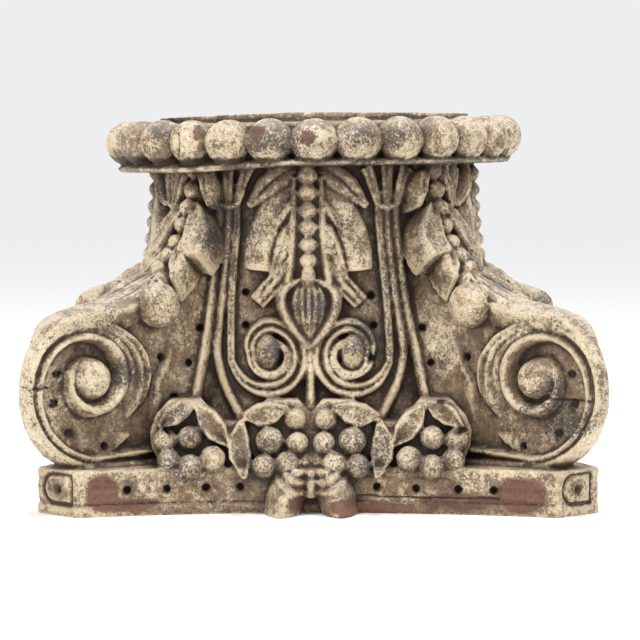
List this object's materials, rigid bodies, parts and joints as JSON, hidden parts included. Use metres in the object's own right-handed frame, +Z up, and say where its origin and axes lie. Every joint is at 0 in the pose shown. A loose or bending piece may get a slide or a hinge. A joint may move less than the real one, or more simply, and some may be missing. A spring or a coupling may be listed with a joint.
{
  "type": "corinthian capital",
  "caption": "Carved and painted timber column capital with a leafy bell, corner scrolls and a beaded neck ring, stood upside down on its hollow-sided abacus.",
  "frame": {"origin": "centre of the abacus's flat face, which is the underside as the capital stands in the picture", "axes": "+Z up from the abacus to the beaded ring, and one carved side faces -Y"},
  "size_m": [0.4162, 0.4158, 0.287],
  "materials": {
    "worn_painted_timber": "worn cream paint over red-brown timber, rubbed and soiled, dull to satin"
  },
  "bodies": {
    "root": {"carved_capital": "worn_painted_timber"}
  },
  "joints": []
}
